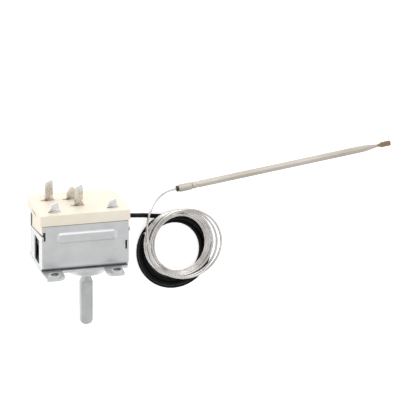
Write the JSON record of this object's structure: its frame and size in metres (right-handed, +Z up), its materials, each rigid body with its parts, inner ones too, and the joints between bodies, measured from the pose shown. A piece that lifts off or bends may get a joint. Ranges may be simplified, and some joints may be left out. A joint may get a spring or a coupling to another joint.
{
  "type": "oven thermostat",
  "caption": "Capillary oven thermostat: ceramic switch base on a folded steel can, D-shaft, blade terminals, coiled capillary in a sleeve and a long probe.",
  "frame": {"origin": "on the table, under the middle of the thermostat's body without its capillary, coils and probe", "axes": "+X along the can's ribbed front face, +Y from the D-shaft towards the terminals, +Z up out of the front face"},
  "size_m": [0.1643, 0.0687, 0.0355],
  "materials": {
    "galvanised_steel": "bright galvanised sheet, slightly mottled",
    "bright_steel": "turned and plated",
    "cream_ceramic": "pressed steatite, matt",
    "brass": "plain brass",
    "mica_board": "pressed mica board",
    "spring_copper": "beryllium copper strip",
    "contact_silver": "silver contact",
    "tinned_brass": "tinned brass, slightly warm",
    "tube_steel": "drawn capillary tube",
    "probe_steel": "drawn stainless tube, warm grey from brazing heat",
    "black_sleeve": "black insulating sleeve",
    "dark_seal": "dark brazed and sealed mouth"
  },
  "bodies": {
    "housing": {"steel_housing": "galvanised_steel", "mounting_plate": "galvanised_steel", "ceramic_base": "cream_ceramic", "diaphragm_capsule": "bright_steel", "side_rivet": "bright_steel", "spindle_bush": "brass", "contact_strap": "brass", "blade_strap": "brass", "guide_plate": "mica_board", "fixed_contact": "contact_silver", "terminal_left": "tinned_brass", "terminal_middle": "tinned_brass", "terminal_rear": "tinned_brass", "capillary_inside": "tube_steel", "sleeve_lead": "black_sleeve", "sleeve_coil": "black_sleeve", "capillary_coil": "tube_steel", "capillary_tail": "tube_steel", "probe_seal": "dark_seal", "probe_collar": "probe_steel", "probe_bulb": "probe_steel"},
    "shaft": {"spindle": "bright_steel", "stop_disc": "bright_steel", "circlip": "bright_steel"},
    "pin": {"pressure_pin": "cream_ceramic"},
    "blade": {"snap_blade": "spring_copper", "moving_contact": "contact_silver"}
  },
  "joints": [
    {"name": "spindle_turn", "type": "hinge", "parent": "housing", "child": "shaft", "pos_m": [0.0024, 0, 0.017], "axis": [0, 1, 0], "range_deg": [0, 300]},
    {"name": "blade_swing", "type": "hinge", "parent": "housing", "child": "blade", "pos_m": [-0.008, 0.0097, 0.017], "axis": [0, 0, 1], "range_deg": [0, 2.2]},
    {"name": "pin_lift", "type": "slide", "parent": "housing", "child": "pin", "axis": [0, 1, 0], "range_m": [0, 0.00041]}
  ],
  "couplings": [
    {"joint": "pin_lift", "follows": "blade_swing", "m_per_rad": 0.0104}
  ]
}
